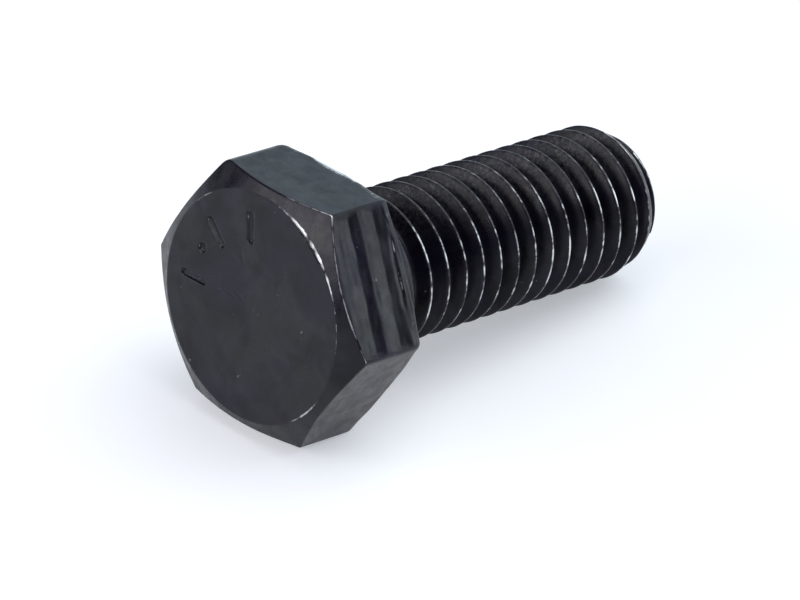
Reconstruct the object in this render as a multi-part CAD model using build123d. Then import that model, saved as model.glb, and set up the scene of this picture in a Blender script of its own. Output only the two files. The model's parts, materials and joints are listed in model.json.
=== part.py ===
from build123d import *
import math
import os

# Hex head screw M8 x 1.25, 20 mm long, threaded along the whole shank: one forged and thread-rolled piece.
# Millimetres. The axis is +X: the head lies at negative X, the thread at positive X, and two of the hexagon's
# flats face +Z and -Z. The origin is on the axis, in the plane of the bearing face under the head.
# The piece is built standing on its axis, along Z, and laid along X at the end.

# thread
major_radius = 4.0
pitch = 1.25
shank_length = 20.3          # nominal 20, inside its limits of 19.58 to 20.42
crest_flat = pitch / 8
thread_depth = 0.61343 * pitch
flank_angle = 30.0
root_radius = major_radius - thread_depth
first_turn = 2.631           # where the ridge's middle starts, on the +Y side
turns_made = 15.5            # past the point, where the spare turns are cut off
ridge_sink = 0.05            # the ridge is let into the core by this much
point_length = 1.31          # the last part of the shank tapers, turns and all
point_radius = 3.32          # of the end face
spare_length = 4.0           # core past the point, cut off with the spare turns

# plain neck between the head and the thread
neck_radius = 3.8
neck_fillet = 0.4
neck_end = 1.4

# head
across_flats = 12.8
head_height = 5.4
face_diameter = 11.9         # flat circle inside the chamfer
chamfer_angle = 30.0
washer_face_diameter = 12.0
washer_face_height = 0.6
root_in_head = 1.0           # the shank's core reaches this far into the head
clearance = 2.0              # how far a cutter stands outside what it cuts

# sunken marks on the head's face: three radial bars and a dot, with no meaning
mark_ring_radius = 4.1
mark_depth = 0.15
bar_length = 1.7
bar_width = 0.4
bar_angles = (-2, 43, 79)
dot_angle = 23
dot_radius = 0.25

# this plane's own x, y and z are the bolt's Y, Z and X
along_bolt = Plane(origin=(0, 0, 0), x_dir=(0, 1, 0), z_dir=(1, 0, 0))


def turned(outline):
    """A solid of revolution about the axis, from an outline of radius and height."""
    return revolve(Plane.XZ * make_face(outline), axis=Axis.Z)


def core():
    """The shank without its thread: under-head fillet, neck, and core down to past the point."""
    fillet_arc = RadiusArc((neck_radius + neck_fillet, 0), (neck_radius, neck_fillet), neck_fillet)
    straight_part = Polyline(
        (neck_radius, neck_fillet),
        (neck_radius, neck_end),
        (root_radius, neck_end + neck_radius - root_radius),
        (root_radius, shank_length + spare_length),
        (0, shank_length + spare_length),
        (0, -root_in_head),
        (neck_radius + neck_fillet, -root_in_head),
        (neck_radius + neck_fillet, 0),
    )
    return turned(straight_part + fillet_arc)


def thread_ridge():
    """The 60 degree thread, flat at its crest, swept along a right-hand helix."""
    slope = math.tan(math.radians(flank_angle))
    half_crest = crest_flat / 2
    half_foot = half_crest + (thread_depth + ridge_sink) * slope
    section = Polyline(
        (-half_foot, root_radius - ridge_sink),
        (-half_crest, major_radius),
        (half_crest, major_radius),
        (half_foot, root_radius - ridge_sink),
        close=True,
    )
    start = Plane(origin=(0, 0, 0), x_dir=(0, 0, 1), z_dir=(0, 1, 0))
    profile = (start * make_face(section)).face()
    helix = Helix(pitch, turns_made * pitch, major_radius)
    return Pos(0, 0, first_turn) * Solid.sweep(profile, helix, is_frenet=True)


def point_cutter():
    """What is turned away at the end of the shank: a tapered point and everything past it."""
    end = shank_length + spare_length + clearance
    outside = major_radius + clearance
    taper = (major_radius - point_radius) / point_length
    outline = Polyline(
        (outside, end),
        (outside, shank_length - point_length - clearance / taper),
        (point_radius, shank_length),
        (0, shank_length),
        (0, end),
        close=True,
    )
    return turned(outline)


def threaded_shank():
    return core() + thread_ridge() - point_cutter()


def hexagon_head():
    """A hexagonal prism with its top corners turned off at 30 degrees, on a round washer face."""
    corner_radius = across_flats / 2 / math.cos(math.pi / 6)
    prism = extrude(RegularPolygon(corner_radius, 6), head_height - washer_face_height)
    prism = Pos(0, 0, -head_height) * prism
    outside = corner_radius + clearance
    drop = (outside - face_diameter / 2) * math.tan(math.radians(chamfer_angle))
    outline = Polyline(
        (0, -head_height),
        (face_diameter / 2, -head_height),
        (outside, drop - head_height),
        (outside, 0),
        (0, 0),
        close=True,
    )
    top_down = (Align.CENTER, Align.CENTER, Align.MAX)
    washer_face = Cylinder(washer_face_diameter / 2, washer_face_height, align=top_down)
    return (prism & turned(outline)) + washer_face


def face_marks():
    """Cutters for the sunken marks, half in and half out of the head's outer face."""
    place = Pos(mark_ring_radius, 0, -head_height)
    bar = Box(bar_length, bar_width, 2 * mark_depth)
    cutters = [Rot(0, 0, angle) * place * bar for angle in bar_angles]
    dot = Cylinder(dot_radius, 2 * mark_depth)
    return cutters + [Rot(0, 0, dot_angle) * place * dot]


def hex_bolt():
    body = hexagon_head() + threaded_shank()
    for cutter in face_marks():
        body = body - cutter
    return along_bolt * body


os.makedirs("parts", exist_ok=True)
bolt = hex_bolt()
bolt.label = "hex_bolt"
export_step(bolt, "parts/hex_bolt.step")
print("solids", len(bolt.solids()), "valid", bolt.is_valid, "volume", round(bolt.volume, 2))
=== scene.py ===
import json
import math

import bpy
import numpy as np
from mathutils import Matrix, Vector, noise


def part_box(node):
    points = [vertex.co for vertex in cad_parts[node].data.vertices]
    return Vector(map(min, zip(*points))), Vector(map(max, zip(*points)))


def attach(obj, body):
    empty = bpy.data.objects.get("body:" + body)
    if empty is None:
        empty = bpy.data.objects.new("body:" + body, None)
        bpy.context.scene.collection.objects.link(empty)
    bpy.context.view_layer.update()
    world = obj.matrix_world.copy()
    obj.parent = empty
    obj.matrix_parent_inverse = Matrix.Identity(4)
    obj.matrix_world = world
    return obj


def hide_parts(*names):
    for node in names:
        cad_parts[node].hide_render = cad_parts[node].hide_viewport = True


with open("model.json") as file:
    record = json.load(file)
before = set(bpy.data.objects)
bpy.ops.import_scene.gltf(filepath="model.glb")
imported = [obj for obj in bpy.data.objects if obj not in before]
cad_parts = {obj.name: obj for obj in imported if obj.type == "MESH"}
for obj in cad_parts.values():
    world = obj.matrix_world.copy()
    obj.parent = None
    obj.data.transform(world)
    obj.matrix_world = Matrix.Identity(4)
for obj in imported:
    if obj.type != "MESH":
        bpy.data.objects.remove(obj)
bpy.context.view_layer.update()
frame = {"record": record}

# Lengths are in millimetres until the mesh is made. Places round the axis are angles in degrees,
# counted from +Y towards +Z, so the hexagon's corners are at 0, 60 ... 300 and flat 0 lies between 0 and 60.

# ---------------------------------------------------------------- sizes

MM = 0.001
low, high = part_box("hex_bolt")
mounts = {mount["name"]: mount for mount in frame["record"]["mounts"]}
head_height = -low.x / MM
shank_length = high.x / MM
half_flats = high.z / MM
half_side = half_flats * math.tan(math.pi / 6)
major_radius = mounts["thread"]["dims"]["r_mm"]
neck_radius = mounts["neck"]["dims"]["r_mm"]

face_radius = 5.95
chamfer_slope = math.tan(math.radians(30))
chamfer_rounding = 0.08
corner_rounding = np.array([0.16, 0.80, 0.20, 0.40, 0.16, 0.16])      # at 0, 60 ... 300 degrees
rear_rounding, rear_corner_rounding = 0.26, 0.36
washer_radius, washer_height, washer_rounding = 6.0, 0.6, 0.12
neck_fillet = 0.4

# the trimming marks on the flats: places along the axis, and how deep they are cut there
trimmed_at = (-4.9, -3.6, -3.05, -2.75, -1.95, -1.3, -0.9)
trimmed_depth = (0.0, 0.13, 0.0, 0.0, 0.11, 0.0, 0.0)
trimmed_flat, faint_flats, faintest_flat = 2, (5, 0), 4

# the bright lines scraped along the trimmed flat and along the flat before it, both near the rear edge
scrape_line, rear_line = -1.15, -0.95
scrape_depth = 0.06
scrape_slope, scrape_edge = (-1.50, -1.22), (-1.20, -1.11)

pitch = 1.25
crest_flat = pitch / 8
first_turn = 2.631
runout_start, runout_end = 1.70, 2.80
point_length, point_radius = 1.31, 3.32
dish_depth = 0.12

mark_ring_radius = 4.1
mark_depth = 0.15
bar_length, bar_width = 1.7, 0.36
bar_angles = (-2, 43, 79)
dot_angle, dot_radius = 23, 0.24
mark_slope = (-0.07, 0.05)                      # the marks' sides, from inside their outline to outside it
dents = ((1.04, 2.35, 0.22), (0.87, 0.23, 0.18), (1.35, 0.05, 0.14))      # y, z, radius

# values that change round the axis: the first number everywhere, and more by strength round each
# (centre, half width, strength)
deeper_chamfer = (0, (240, 25, 0.15))
face_edge_rounding = (0.06, (121, 40, 0.12), (222, 22, 0.05))
face_edge_wear = (0.25, (150, 75, 0.60), (121, 34, 0.55), (222, 20, 0.75), (45, 14, 0.5))
chamfer_wear = (0.32, (150, 48, 1.0), (112, 20, 0.75))
rear_wear = (0.42, (90, 32, 0.80))
washer_wear = (0.35, (150, 30, 0.4))
crest_wear = (0.62, (165, 80, 0.38))

END_TRAVEL = 3.1          # how far the thread's rows go on, inwards over the end face
LONGEST_REACH = 0.45      # of a rounding, as a share of the side it lies on
COLUMNS_PER_FLAT = 72
COLUMNS = 6 * COLUMNS_PER_FLAT


# ---------------------------------------------------------------- small helpers

def smooth_step(value, start, end):
    """0 before start, 1 after end, smooth between."""
    t = np.clip((value - start) / (end - start), 0, 1)
    return t * t * (3 - 2 * t)


def hump(value, centre, half_width):
    """A smooth bump, 1 at its centre and 0 beyond half_width."""
    t = np.clip(1 - np.abs(value - centre) / half_width, 0, 1)
    return t * t * (3 - 2 * t)


def angle_hump(angle, centre, half_width):
    """As hump, on an angle in degrees that wraps round."""
    return hump((angle - centre + 180) % 360 - 180, 0, half_width)


def noise_at(points, wavelength, seed):
    """Smooth noise between about -1 and 1 at an array of points."""
    shift = Vector((seed * 17.3, seed * 5.1, -seed * 9.7))
    return np.array([noise.noise(Vector(p) / wavelength + shift) for p in points])


def rounded(before, corner, after, reach, count):
    """Points on a smooth curve that rounds off a corner, starting and ending at reach from it.

    On a short side the curve stops just before the middle, which leaves room for the next corner's.
    """
    ends = []
    for other in (before, after):
        side = other - corner
        length = np.linalg.norm(side, axis=-1, keepdims=True)
        ends.append(corner + side / length * np.minimum(np.asarray(reach)[..., None], LONGEST_REACH * length))
    return [(1 - share) ** 2 * ends[0] + 2 * share * (1 - share) * corner + share ** 2 * ends[1]
            for share in np.linspace(0, 1, count)]


# ---------------------------------------------------------------- columns, one for each angle round the axis

def column_angles():
    """Angles round the axis, closer together at the hexagon's corners."""
    share = np.arange(COLUMNS_PER_FLAT) / COLUMNS_PER_FLAT
    from_corner = 30 * (np.minimum(share, 1 - share) * 2) ** 1.6
    one_flat = np.where(share < 0.5, from_corner, 60 - from_corner)
    return np.concatenate([one_flat + 60 * flat for flat in range(6)])


degrees = column_angles()
radians = np.radians(degrees)
flat_number = np.floor(degrees / 60).astype(int)
off_normal = np.radians(np.abs(degrees % 60 - 30))                 # from the middle of the flat
across = half_flats * np.tan(np.radians(degrees % 60 - 30))        # along the flat, from its middle
wander = noise_at(np.stack([0 * across, 1.2 * across, 2.0 * flat_number], axis=1), 1.0, seed=3)
scrape_reach = 1 - smooth_step(np.abs(across + 0.2), 1.3, 2.1)      # fades out at the scraped line's ends
near_corner = 1 - smooth_step(np.degrees(math.pi / 6 - off_normal), 3, 16)      # 1 at the hexagon's corners


def round_the_axis(base, *places):
    """A value for each column: base, and more by strength round each (centre, half width, strength)."""
    return base + sum(strength * angle_hump(degrees, centre, width) for centre, width, strength in places)


def ring(x, radius):
    """A circle about the axis as an array of (x, radius), a row for each column."""
    return np.stack([np.full(COLUMNS, float(x)), np.full(COLUMNS, float(radius))], axis=1)


def in_space(x, radius):
    """x and radius for each column to x, y, z."""
    return np.stack([x, radius * np.cos(radians), radius * np.sin(radians)], axis=1)


# ---------------------------------------------------------------- head

def hexagon_radius(inset):
    """Distance from the axis to the hexagon's wall, with rounded corners, set in by inset."""
    rounding = corner_rounding[np.rint(degrees / 60).astype(int) % 6]
    flat = (half_flats - inset) / np.cos(off_normal)
    inner_corner = (half_flats - inset - rounding) / math.cos(math.pi / 6)
    to_corner = math.pi / 6 - off_normal
    off_arc = inner_corner * np.sin(to_corner)
    arc = inner_corner * np.cos(to_corner) + np.sqrt(np.maximum(rounding ** 2 - off_arc ** 2, 0))
    on_arc = np.abs(across) > (half_flats - rounding) * math.tan(math.pi / 6)
    return np.where(on_arc, arc, flat)


def leaning(x):
    """Distance along the axis with the slight lean and wander of the trimming marks."""
    return x + 0.03 * across + 0.09 * wander


def flat_relief(x):
    """How deep the trimming marks are cut into each flat at this height, column by column."""
    lean = leaning(x)
    drawn_out = np.stack([x + np.zeros(COLUMNS), 0.30 * across, 2.0 * flat_number], axis=1)
    streaks = noise_at(drawn_out, 0.32, seed=4)
    ridges = np.interp(lean, trimmed_at, trimmed_depth)
    # a shallow slope down to the scraped line, and a steep one up from it
    scrape = smooth_step(lean, *scrape_slope) * (1 - smooth_step(lean, *scrape_edge)) * scrape_reach
    faint = 0.35 * ridges + 0.006 * streaks
    depth = np.select(
        [flat_number == trimmed_flat, np.isin(flat_number, faint_flats), flat_number == faintest_flat],
        [ridges + scrape_depth * scrape + 0.020 * streaks, faint, 0.5 * faint], 0.0)
    # nothing is cut into the corners
    return (depth + 0.003 * streaks) * smooth_step(half_side - np.abs(across), 0.0, 0.35)


def scraped_lines(x):
    """Wear of the bright lines scraped along two flats, close to their rear edges."""
    beside = 1.1 * hump(leaning(x), scrape_line, 0.09) * scrape_reach * (flat_number == trimmed_flat)
    above = 0.95 * hump(x, rear_line, 0.10) * angle_hump(degrees, 91, 34)
    return beside + above


def wall(x):
    """Points on the hexagon's wall at one height: an array of (x, radius), a row for each column."""
    return np.stack([x + np.zeros(COLUMNS), hexagon_radius(flat_relief(x))], axis=1)


def chamfer_end():
    """Where the chamfer's cone meets the hexagon's wall, column by column."""
    x = np.full(COLUMNS, -head_height)
    for step in range(4):
        x = -head_height + (hexagon_radius(flat_relief(x)) - face_radius) * chamfer_slope
    return x + round_the_axis(*deeper_chamfer)


def head_rows():
    """Rings from near the middle of the face, over the head, to the neck. Each is (points, wear)."""
    rows = []
    none = np.zeros(COLUMNS)

    def straight(start, end, shares):
        rows.extend((start + (end - start) * share, none) for share in shares)

    def edge(before, corner, after, reach, count, strength, worst=0.5):
        for share, point in zip(np.linspace(0, 1, count), rounded(before, corner, after, reach, count)):
            rows.append((point, strength * hump(share, worst, 0.45) ** 0.5))

    top_x = chamfer_end()
    middle = ring(-head_height, 0)
    face_edge = ring(-head_height, face_radius)
    top = wall(top_x)
    rear = wall(-washer_height)
    washer_root = ring(-washer_height, washer_radius)
    washer_rim = ring(0, washer_radius)
    neck_corner = ring(0, neck_radius)
    neck_side = ring(2 * neck_fillet, neck_radius)
    rear_reach = rear_rounding + rear_corner_rounding * near_corner

    # the face's rings are close together where the marks are
    straight(middle, face_edge, np.linspace(0.06, 0.50, 12))
    straight(middle, face_edge, np.linspace(0.505, 0.90, 66))
    straight(middle, face_edge, (0.92, 0.94, 0.96, 0.975))
    edge(middle, face_edge, top, round_the_axis(*face_edge_rounding), 7, round_the_axis(*face_edge_wear))
    straight(face_edge, top, (0.3, 0.5, 0.7))
    edge(face_edge, top, rear, chamfer_rounding, 7, round_the_axis(*chamfer_wear))
    # the wall's rows stop where the rear rounding starts
    wall_length = -washer_height - rear_reach - 0.02 - top_x
    for share in np.linspace(0.03, 1, 60):
        x = top_x + wall_length * share
        rows.append((wall(x), scraped_lines(x)))
    edge(top, rear, washer_root, rear_reach, 9, round_the_axis(*rear_wear), 0.12)
    straight(rear, washer_root, (0.8, 0.93))
    straight(washer_root, washer_rim, (0.1, 0.4, 0.7))
    edge(washer_root, washer_rim, neck_corner, washer_rounding, 7, round_the_axis(*washer_wear))
    straight(washer_rim, neck_corner, (0.15, 0.4, 0.6, 0.75))
    rows.extend((point, none) for point in rounded(washer_rim, neck_corner, neck_side, neck_fillet, 9))
    return rows


def marks(y, z):
    """How far down the sunken marks a place on the face is, 0 to 1."""
    radius, angle = np.hypot(y, z), np.degrees(np.arctan2(z, y))
    dot = math.radians(dot_angle)
    from_dot = np.hypot(y - mark_ring_radius * math.cos(dot), z - mark_ring_radius * math.sin(dot))
    down = 1 - smooth_step(from_dot - dot_radius, *mark_slope)
    for bar_angle in bar_angles:
        turn = np.radians(angle - bar_angle)
        past_end = np.abs(radius * np.cos(turn) - mark_ring_radius) - bar_length / 2 + bar_width / 2
        outside = np.hypot(np.maximum(past_end, 0), radius * np.sin(turn)) - bar_width / 2
        outside = np.where(np.abs(turn) < 1, outside, 1)
        down = np.maximum(down, 1 - smooth_step(outside, *mark_slope))
    return down


# ---------------------------------------------------------------- thread

def thread_profile():
    """One pitch of the thread from a crest to the next. Each is ((distance along the axis, radius), wear)."""
    half = pitch / 2
    shoulder = half - crest_flat / 2
    sharp_root = np.array([0.0, major_radius - shoulder / math.tan(math.radians(30))])
    crest, left = np.array([-half, major_radius]), np.array([-shoulder, major_radius - 0.012])
    right, next_crest = np.array([shoulder, major_radius - 0.012]), np.array([half, major_radius])
    left_arc = rounded(crest, left, sharp_root, 0.040, 3)
    root_arc = rounded(left, sharp_root, right, 0.43, 8)
    right_arc = rounded(sharp_root, right, next_crest, 0.040, 3)
    points = [(crest, 0.95), *zip(left_arc, (0.80, 0.35, 0.0))]
    points += [(left_arc[-1] + (root_arc[0] - left_arc[-1]) * share, 0) for share in (0.15, 0.4, 0.7)]
    points += [(point, 0) for point in root_arc]
    points += [(root_arc[-1] + (right_arc[0] - root_arc[-1]) * share, 0) for share in (0.3, 0.6, 0.85)]
    return points + list(zip(right_arc, (0.0, 0.35, 0.80)))


def shank_rows():
    """Rows that follow the thread's helix, from the neck over the thread and point onto the end face.

    Gives the distance along the axis, radius and wear of each row in each column, and the rows in a turn.
    """
    profile = thread_profile()
    start = neck_fillet + 0.05
    turn_shift = (first_turn - pitch / 2 - start) % pitch
    last = shank_length + END_TRAVEL - pitch
    rows = []
    for turn in range(-1, int(last / pitch) + 2):
        for (along, radius), wear in profile:
            offset = start + turn_shift + turn * pitch + along
            if start <= offset <= last:
                rows.append((offset, radius, wear))
    offsets, radius, wear = (np.array(values)[:, None] + np.zeros(COLUMNS) for values in zip(*rows))
    return offsets + pitch * degrees / 360, radius, wear, len(profile)


def shaped_shank():
    """As shank_rows, with the thread's start, the point and the end face."""
    along, radius, wear, per_turn = shank_rows()
    columns = np.arange(COLUMNS)
    # in each column the row nearest the end face's edge is moved onto that edge
    edge_row = np.abs(along - shank_length).argmin(axis=0)
    along[edge_row, columns] = shank_length

    grown = smooth_step(along, runout_start, runout_end)
    radius = neck_radius + (radius - neck_radius) * grown
    wear = wear * grown * round_the_axis(*crest_wear)

    into_point = np.clip((along - shank_length + point_length) / point_length, 0, 1)
    cone = major_radius - (major_radius - point_radius) * into_point
    cut_away = radius - cone
    wear = np.where(cut_away > 0.01, 0.35 + 0.9 * hump(cut_away, 0.03, 0.10), wear)
    radius = np.minimum(radius, cone)

    # past the end face's edge the rows go on inwards, over a shallow dish
    past = np.maximum(along - shank_length, 0)
    wear[edge_row, columns] = 0.55
    wear = np.where(past > 0, 0.1, wear)
    radius = np.where(past > 0, radius[edge_row, columns] * (1 - past / (END_TRAVEL + 0.3)), radius)
    x = np.minimum(along, shank_length) - dish_depth * smooth_step(past, 0.4, 1.8)
    return x, radius, wear, per_turn


# ---------------------------------------------------------------- the bolt's mesh

def weathered(points, wear):
    """The points with marks, dents and unevenness, and the wear broken up and spread to the marks' rims."""
    on_face = np.abs(points[:, 0] + head_height) < 0.001
    on_side = ~on_face & (points[:, 0] <= shank_length - 0.001)
    sunk = marks(points[:, 1], points[:, 2]) * on_face
    for y, z, radius in dents:
        from_dent = np.hypot(points[:, 1] - y, points[:, 2] - z)
        sunk = np.maximum(sunk, 0.3 * hump(from_dent, 0, radius) * on_face)
    uneven = 0.006 * noise_at(points, 2.6, seed=1) + 0.003 * noise_at(points, 0.8, seed=2)
    patchy = 0.6 * noise_at(points * (0.35, 1, 1), 1.1, seed=5)
    wear = wear * (1 + patchy + 0.5 * noise_at(points, 0.35, seed=6))
    rim = np.clip(1 - np.abs(sunk - 0.35) / 0.35, 0, 1)
    wear = np.maximum(wear, 0.9 * rim * on_face)

    outwards = points * (0, 1, 1) / np.maximum(np.hypot(points[:, 1], points[:, 2]), 0.001)[:, None]
    points = points + outwards * (uneven * on_side)[:, None]
    points[:, 0] += (mark_depth * sunk + np.abs(uneven)) * on_face
    return points, wear


def joined(head_count, shank_count, per_turn):
    """The faces between the rows. The last point is the middle of the head's face."""
    def at(row, column):
        return row * COLUMNS + column

    def quad(row, column, next_row, next_column):
        return at(row, column), at(row + 1, column), at(next_row + 1, next_column), at(next_row, next_column)

    centre = (head_count + shank_count) * COLUMNS
    last, first = head_count - 1, head_count
    end_row, end_column = head_count + shank_count - 1, COLUMNS - 1
    faces = []
    for column in range(COLUMNS):
        after = (column + 1) % COLUMNS
        faces.append((centre, at(0, column), at(0, after)))
        faces.extend(quad(row, column, row, after) for row in range(last))
    for column in range(end_column):
        faces.extend(quad(row, column, row, column + 1) for row in range(last, end_row))
    # across the seam each row of the shank meets the row one turn on
    faces.extend(quad(row, end_column, row + per_turn, 0) for row in range(first, end_row - per_turn))
    first_turn_rows = [at(first + step, 0) for step in range(per_turn + 1)]
    faces.append((at(first, end_column), *reversed(first_turn_rows), at(last, 0), at(last, end_column)))
    # one face closes the middle of the end, bounded by the last row and by the seam's last turn
    last_row = [at(end_row, column) for column in range(COLUMNS)]
    step_back = [at(end_row - step, end_column) for step in range(1, per_turn + 1)]
    faces.append(tuple(reversed(last_row + step_back)))
    return faces


def bolt_mesh():
    """One closed mesh, with point attributes that say where it is worn, where a highlight is painted on the
    top of the thread and where shade is painted on its underside.
    """
    head = head_rows()
    x, radius, shank_wear, per_turn = shaped_shank()
    places = [in_space(*points.T) for points, _ in head] + [in_space(*row) for row in zip(x, radius)]
    wears = [np.broadcast_to(wear, (COLUMNS,)) for _, wear in head] + list(shank_wear)
    points = np.concatenate(places + [np.array([[-head_height, 0, 0]])])
    points, wear = weathered(points, np.concatenate(wears + [np.zeros(1)]))

    around = np.degrees(np.arctan2(points[:, 2], points[:, 1]))
    on_shank = smooth_step(points[:, 0], 0.6, 2.5)
    # where a highlight is painted along the top of the thread, stronger towards the point
    painted_highlight_place = on_shank * angle_hump(around, 92, 52) * (0.6 + 0.4 * points[:, 0] / shank_length)
    # where shade is painted along the underside of the thread
    painted_underside_shade = on_shank * angle_hump(around, 215, 75)

    mesh = bpy.data.meshes.new("bolt_body")
    mesh.from_pydata((points * MM).tolist(), [], joined(len(head), len(x), per_turn))
    for name, values in (("wear", wear), ("painted_top_highlight", painted_highlight_place), ("painted_underside_shade", painted_underside_shade)):
        mesh.attributes.new(name, "FLOAT", "POINT").data.foreach_set("value", values.astype(np.float32))
    mesh.validate()
    mesh.update()
    mesh.polygons.foreach_set("use_smooth", [True] * len(mesh.polygons))
    return mesh


# ---------------------------------------------------------------- materials

class Nodes:
    """A short way to write a node tree."""

    def __init__(self, tree):
        self.tree = tree
        tree.nodes.clear()

    def add(self, kind, inputs=None, **settings):
        """A new node. Each input, by name or number, is linked if it is a socket and set if it is a value."""
        node = self.tree.nodes.new(kind)
        for name, value in settings.items():
            setattr(node, name, value)
        for name, value in (inputs or {}).items():
            if isinstance(value, bpy.types.NodeSocket):
                self.tree.links.new(value, node.inputs[name])
            else:
                node.inputs[name].default_value = value
        return node

    def place(self):
        return self.add("ShaderNodeTexCoord").outputs["Object"]

    def attribute(self, name):
        return self.add("ShaderNodeAttribute", attribute_name=name).outputs["Fac"]

    def math(self, operation, first, second):
        return self.add("ShaderNodeMath", {0: first, 1: second}, operation=operation).outputs[0]

    def noise(self, place, scale, detail, roughness=0.5, distortion=0.0):
        inputs = {"Vector": place, "Scale": scale, "Detail": detail, "Roughness": roughness,
                  "Distortion": distortion}
        return self.add("ShaderNodeTexNoise", inputs).outputs["Fac"]

    def ramp(self, value, start, end, low_value=0.0, high_value=1.0):
        inputs = {"Value": value, "From Min": start, "From Max": end,
                  "To Min": low_value, "To Max": high_value}
        return self.add("ShaderNodeMapRange", inputs, interpolation_type="SMOOTHSTEP").outputs["Result"]

    def mix(self, share, first, second):
        # when it mixes colours, this node takes its factor at 0 and the colours at 6 and 7
        return self.add("ShaderNodeMix", {0: share, 6: first, 7: second}, data_type="RGBA").outputs[2]


def new_material(name):
    material = bpy.data.materials.new(name)
    material.use_nodes = True
    return material, Nodes(material.node_tree)


def black_oxide():
    """Oiled black oxide on steel: near-black, satin, with bright steel where the edges are rubbed, a painted
    highlight along the top of the thread and painted shade along its underside.
    """
    dark_oxide, light_oxide = (0.0002, 0.0000, 0.0026, 1), (0.0060, 0.0048, 0.0130, 1)
    grain_colour, painted_highlight_colour = (0.007, 0.007, 0.012, 1), (0.046, 0.046, 0.052, 1)
    dull_steel, bright_steel = (0.17, 0.17, 0.18, 1), (0.72, 0.72, 0.73, 1)
    material, nodes = new_material("black_oxide_steel")
    in_mm = nodes.add("ShaderNodeVectorMath", {0: nodes.place(), "Scale": 1 / MM}, operation="SCALE")
    place = in_mm.outputs[0]
    wear = nodes.attribute("wear")

    clouds = nodes.noise(place, 0.35, 4, 0.6, 0.6)
    grain = nodes.noise(place, 9.0, 4, 0.65)
    patches = nodes.noise(place, 1.3, 3, 0.55, 0.4)
    oxide = nodes.mix(nodes.ramp(clouds, 0.35, 0.65), dark_oxide, light_oxide)
    oxide = nodes.mix(nodes.ramp(grain, 0.55, 0.85, 0, 0.4), oxide, grain_colour)

    # a painted highlight: mottled grey colour along the top of the thread
    mottle = nodes.ramp(nodes.noise(place, 4.5, 4, 0.7, 0.3), 0.40, 0.62)
    painted_highlight_mask = nodes.math("MULTIPLY", nodes.attribute("painted_top_highlight"), mottle)
    oxide = nodes.mix(painted_highlight_mask, oxide, painted_highlight_colour)

    # thicker oxide is darker and reflects less; along the underside of the thread the same dulling is painted
    # shade
    dull_oxide_and_painted_shade = nodes.ramp(nodes.noise(place, 0.30, 3, 0.55, 0.5), 0.38, 0.60, 0.0, 0.26)
    dull_oxide_and_painted_shade = nodes.math("ADD", dull_oxide_and_painted_shade, nodes.math("MULTIPLY", nodes.attribute("painted_underside_shade"), 0.38))

    # bare steel shows in broken lines along the worn edges, and in a few specks
    broken = nodes.ramp(nodes.noise(place, 2.2, 4, 0.7), 0.3, 0.7, -0.55, 0.15)
    rubbed = nodes.ramp(nodes.math("ADD", wear, broken), 0.35, 0.95)
    specks = nodes.ramp(nodes.noise(place, 3.2, 2, 0.5), 0.75, 0.79, 0, 0.7)
    rubbed = nodes.math("MAXIMUM", rubbed, specks)
    steel = nodes.mix(nodes.ramp(wear, 0.5, 1.3), dull_steel, bright_steel)

    roughness = nodes.ramp(patches, 0.3, 0.7, 0.26, 0.40)
    roughness = nodes.math("ADD", roughness, nodes.ramp(grain, 0.3, 0.7, -0.03, 0.05))
    height = nodes.math("ADD", nodes.math("MULTIPLY", grain, 0.35), nodes.math("MULTIPLY", patches, 0.65))
    height = nodes.math("ADD", height, nodes.math("MULTIPLY", painted_highlight_mask, 2.0))
    bump = nodes.add("ShaderNodeBump", {"Height": height, "Strength": 0.32, "Distance": 0.02 * MM})

    shader = nodes.add("ShaderNodeBsdfPrincipled", {
        "Base Color": nodes.mix(rubbed, oxide, steel),
        "Metallic": nodes.math("MAXIMUM", nodes.math("MULTIPLY", rubbed, 0.9), dull_oxide_and_painted_shade),
        "Roughness": roughness,
        "IOR": 1.40,
        "Normal": bump.outputs[0],
    })
    nodes.add("ShaderNodeOutputMaterial", {0: shader.outputs[0]})
    return material


def paper():
    """The pale floor: matt white with the faintest unevenness, and a glow that keeps its shadows pale."""
    material, nodes = new_material("pale_floor")
    soft = nodes.ramp(nodes.noise(nodes.place(), 12.0, 2), 0.3, 0.7)
    shader = nodes.add("ShaderNodeBsdfPrincipled", {
        "Base Color": nodes.mix(soft, (0.69, 0.705, 0.72, 1), (0.71, 0.725, 0.74, 1)),
        "Roughness": 0.9,
        "Emission Color": (0.93, 0.96, 1.0, 1),
        "Emission Strength": 0.40,
    })
    nodes.add("ShaderNodeOutputMaterial", {0: shader.outputs[0]})
    return material


# ---------------------------------------------------------------- the bolt

def show(name, data):
    """A new object in the scene."""
    thing = bpy.data.objects.new(name, data)
    bpy.context.scene.collection.objects.link(thing)
    return thing


bolt = show("bolt", bolt_mesh())
bolt.data.materials.append(black_oxide())
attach(bolt, "root")
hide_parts("hex_bolt")


# ---------------------------------------------------------------- floor, light and camera

def make_floor():
    """The bolt lies on the rear edge of the head's lower flat and on its last thread."""
    half_size = 0.6
    rear_edge = Vector((-washer_height, 0, -half_flats)) * MM
    last_thread = Vector((shank_length - point_length, 0, -major_radius)) * MM
    tilt = math.atan2(last_thread.z - rear_edge.z, last_thread.x - rear_edge.x)
    mesh = bpy.data.meshes.new("floor")
    corners = [(x * half_size, y * half_size, 0) for x, y in ((-1, -1), (1, -1), (1, 1), (-1, 1))]
    mesh.from_pydata(corners, [], [(0, 1, 2, 3)])
    mesh.materials.append(paper())
    floor = show("floor", mesh)
    floor.location = rear_edge
    floor.rotation_euler = (0, -tilt, 0)


def make_soft_light(name, direction, distance, size, power):
    """A rectangular box of light that faces the bolt. Size and distance in metres, power in watts."""
    light = bpy.data.lights.new(name, "AREA")
    light.shape = "RECTANGLE"
    light.size, light.size_y = size
    light.energy = power
    lamp = show(name, light)
    lamp.location = Vector(direction).normalized() * distance
    lamp.rotation_euler = Vector(direction).to_track_quat("Z", "Y").to_euler()


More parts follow.
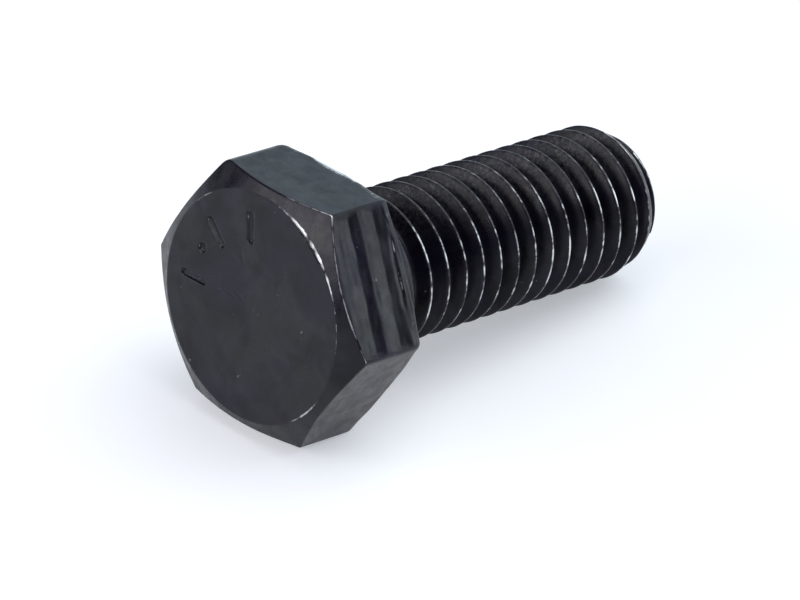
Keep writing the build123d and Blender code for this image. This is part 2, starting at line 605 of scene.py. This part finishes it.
def make_surroundings():
    """A studio that is pale behind the bolt's point, dim in front of its head, and white to the camera."""
    front = (-1.0, 0.0, 0.0)
    pale, dim, backdrop = (0.81, 0.99, 1.08, 1), (0.12, 0.11, 0.17, 1), (0.98, 0.99, 1.0, 1)
    world = bpy.data.worlds.new("studio")
    bpy.context.scene.world = world
    world.use_nodes = True
    nodes = Nodes(world.node_tree)
    direction = nodes.add("ShaderNodeTexCoord").outputs["Generated"]
    facing = nodes.add("ShaderNodeVectorMath", {0: direction, 1: front}, operation="DOT_PRODUCT")
    colour = nodes.mix(nodes.ramp(facing.outputs["Value"], -0.70, -0.12), pale, dim)
    seen = nodes.add("ShaderNodeLightPath").outputs["Is Camera Ray"]
    background = nodes.add("ShaderNodeBackground", {"Color": nodes.mix(seen, colour, backdrop),
                                                    "Strength": 1.03})
    nodes.add("ShaderNodeOutputWorld", {0: background.outputs[0]})


def make_camera():
    """Long lens, from in front of the head and above, slightly rolled."""
    azimuth, elevation, roll = math.radians(-48.72), math.radians(25.77), math.radians(8.72)
    target = Vector((2.27, -2.82, -0.27)) * MM
    distance = 321.9 * MM
    back = Vector((math.sin(azimuth) * math.cos(elevation),
                   -math.cos(azimuth) * math.cos(elevation),
                   math.sin(elevation)))
    camera = bpy.data.cameras.new("camera")
    camera.sensor_width = 36
    camera.lens = 292.5
    camera.clip_start, camera.clip_end = 0.01, 10
    eye = show("camera", camera)
    level = Matrix.LocRotScale(target + back * distance, (-back).to_track_quat("-Z", "Y"), None)
    eye.matrix_world = level @ Matrix.Rotation(roll, 4, "Z")
    bpy.context.scene.camera = eye


make_floor()
make_surroundings()
# the key box shines on the chamfer and the top of the thread, the side box on the flat to the right in the
# photo's view, and the top box on the floor
make_soft_light("key_box", (-0.89, 0.27, 0.31), 0.30, (0.38, 0.15), 0.67)
make_soft_light("side_box", (0.79, -0.52, 0.30), 0.30, (0.14, 0.14), 0.075)
make_soft_light("top_box", (0.1, -0.2, 1), 0.45, (0.50, 0.50), 1.34)
make_camera()
bpy.context.scene.view_settings.view_transform = "Standard"
